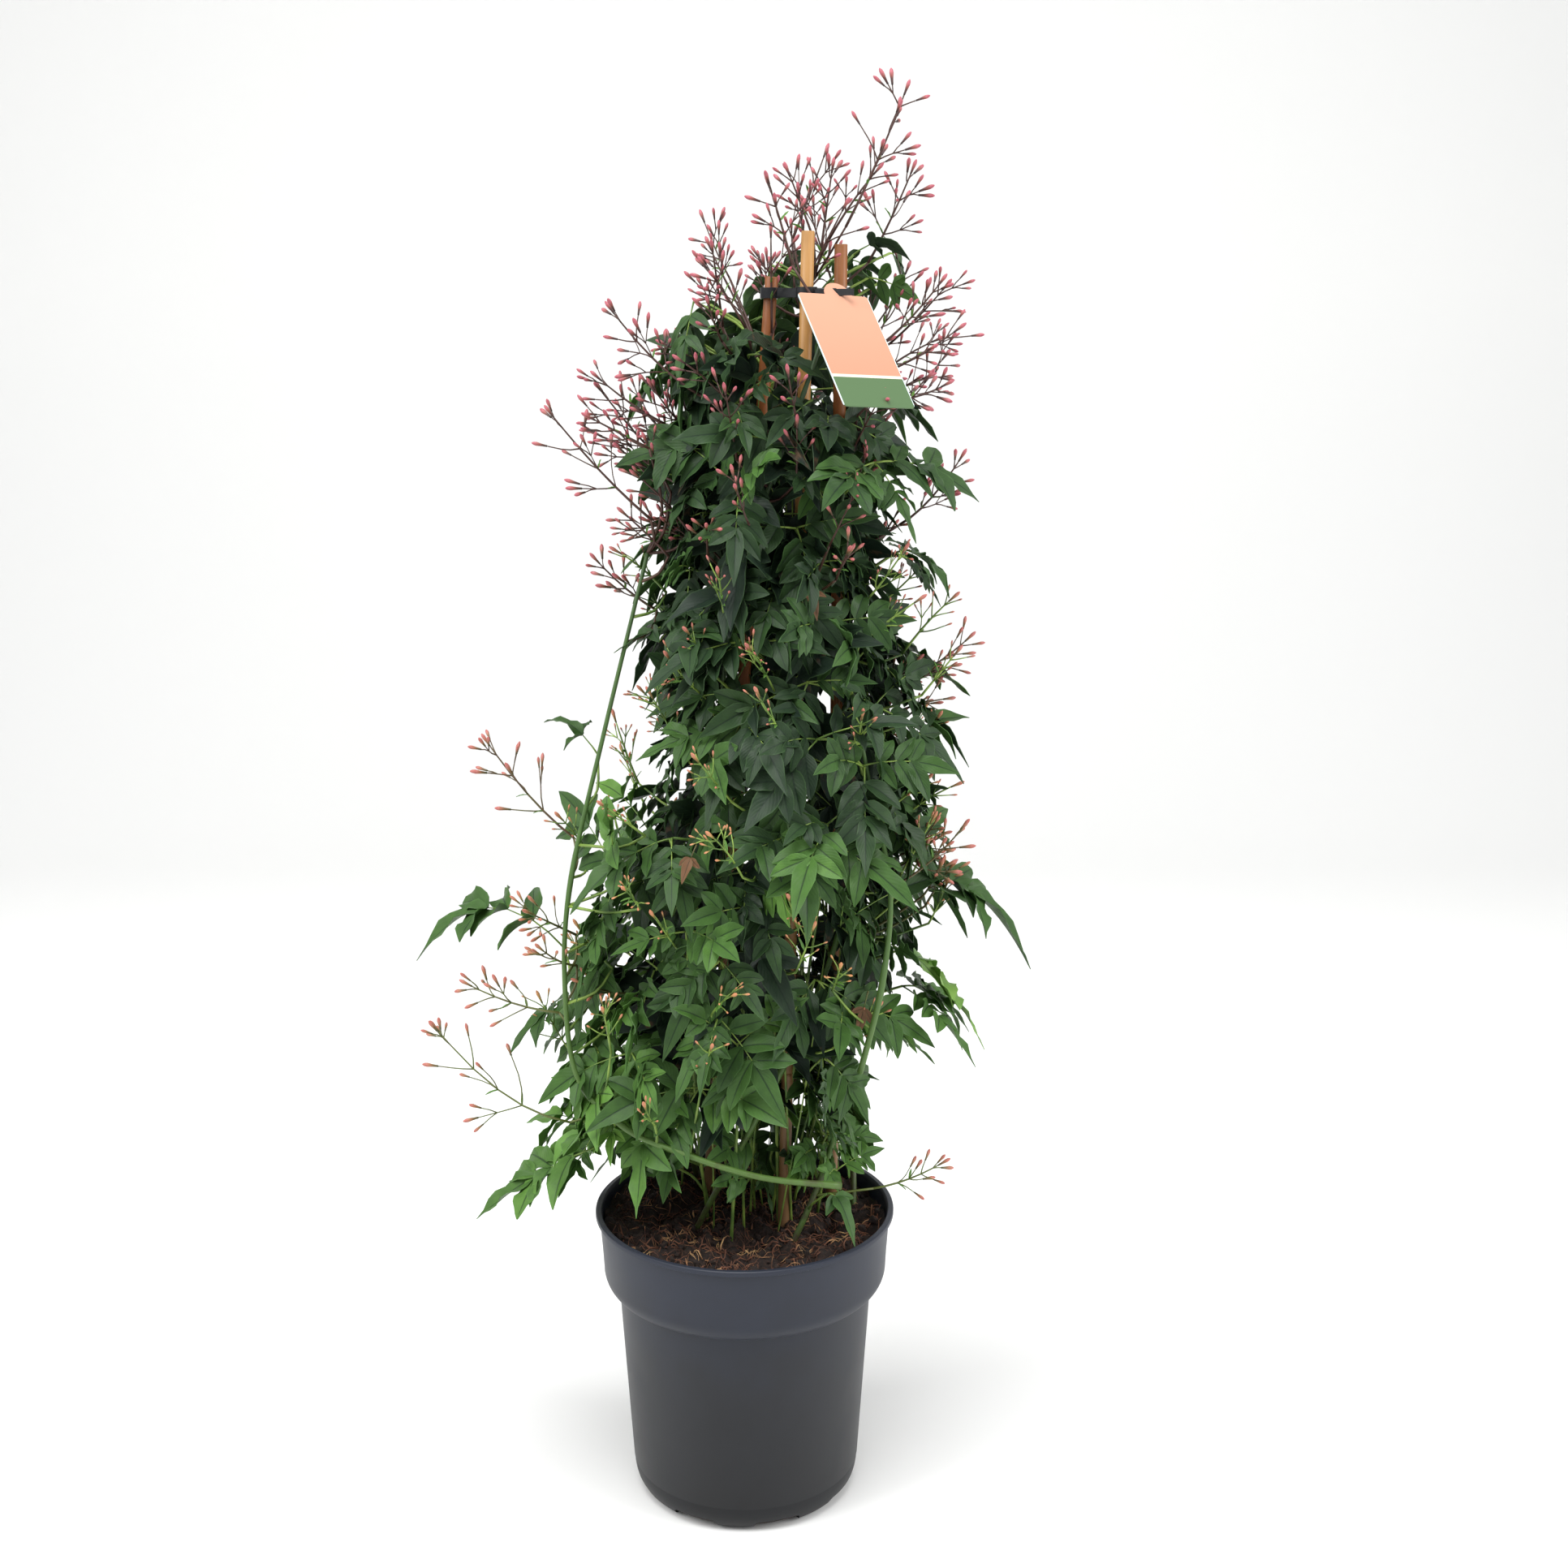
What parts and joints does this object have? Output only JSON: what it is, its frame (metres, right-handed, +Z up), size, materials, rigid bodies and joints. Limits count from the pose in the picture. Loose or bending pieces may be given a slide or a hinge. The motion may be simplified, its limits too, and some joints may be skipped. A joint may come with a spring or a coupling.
{
  "type": "potted jasmine",
  "caption": "Climbing jasmine in bud, trained up a bamboo tripod in a round nursery pot, with twining stems, leafy shoots, bud sprays and a hang label.",
  "frame": {"origin": "middle of the pot's flat underside, on the ground", "axes": "+Z up along the pot's axis; -Y towards the side that the label hangs on, +X to the right seen from there"},
  "size_m": [0.4627, 0.3164, 1.0643],
  "materials": {
    "pot_plastic": "moulded, satin",
    "peat": "crumbly, matt",
    "bamboo": "smooth, weathered",
    "clip_plastic": "moulded, glossy",
    "label_card": "printed, satin",
    "stem": "smooth green bark",
    "leaf": "waxy green",
    "buds": "satin pink"
  },
  "bodies": {
    "root": {"cane_clip": "clip_plastic", "cane_front": "bamboo", "cane_left": "bamboo", "cane_right": "bamboo", "label": "label_card", "leaf_left_long": "leaf", "leaf_left_loose": "leaf", "leaf_left_low": "leaf", "leaf_left_side": "leaf", "leaf_right_long": "leaf", "leaf_right_low": "leaf", "leaf_right_side": "leaf", "leaf_rim": "leaf", "leaf_top": "leaf", "leafy_shoot_01": "leaf", "leafy_shoot_02": "leaf", "leafy_shoot_03": "leaf", "leafy_shoot_04": "leaf", "leafy_shoot_05": "leaf", "leafy_shoot_06": "leaf", "leafy_shoot_07": "leaf", "leafy_shoot_08": "leaf", "leafy_shoot_09": "leaf", "leafy_shoot_10": "leaf", "leafy_shoot_11": "leaf", "leafy_shoot_12": "leaf", "leafy_shoot_13": "leaf", "leafy_shoot_14": "leaf", "leafy_shoot_15": "leaf", "leafy_shoot_16": "leaf", "pot": "pot_plastic", "soil": "peat", "spray_left_drooping": "buds", "spray_left_high": "buds", "spray_left_lower": "buds", "spray_left_mid": "buds", "spray_left_side": "buds", "spray_left_upper": "buds", "spray_left_wide": "buds", "spray_right_high": "buds", "spray_right_low": "buds", "spray_right_lower": "buds", "spray_right_mid": "buds", "spray_right_upper": "buds", "spray_shoulder_left": "buds", "spray_top": "buds", "spray_top_left": "buds", "spray_top_mid": "buds", "spray_top_right": "buds", "stem_1": "stem", "stem_2": "stem", "stem_3": "stem", "stem_4": "stem", "stem_5": "stem", "stem_right": "stem", "stem_trailing": "stem"}
  },
  "joints": []
}
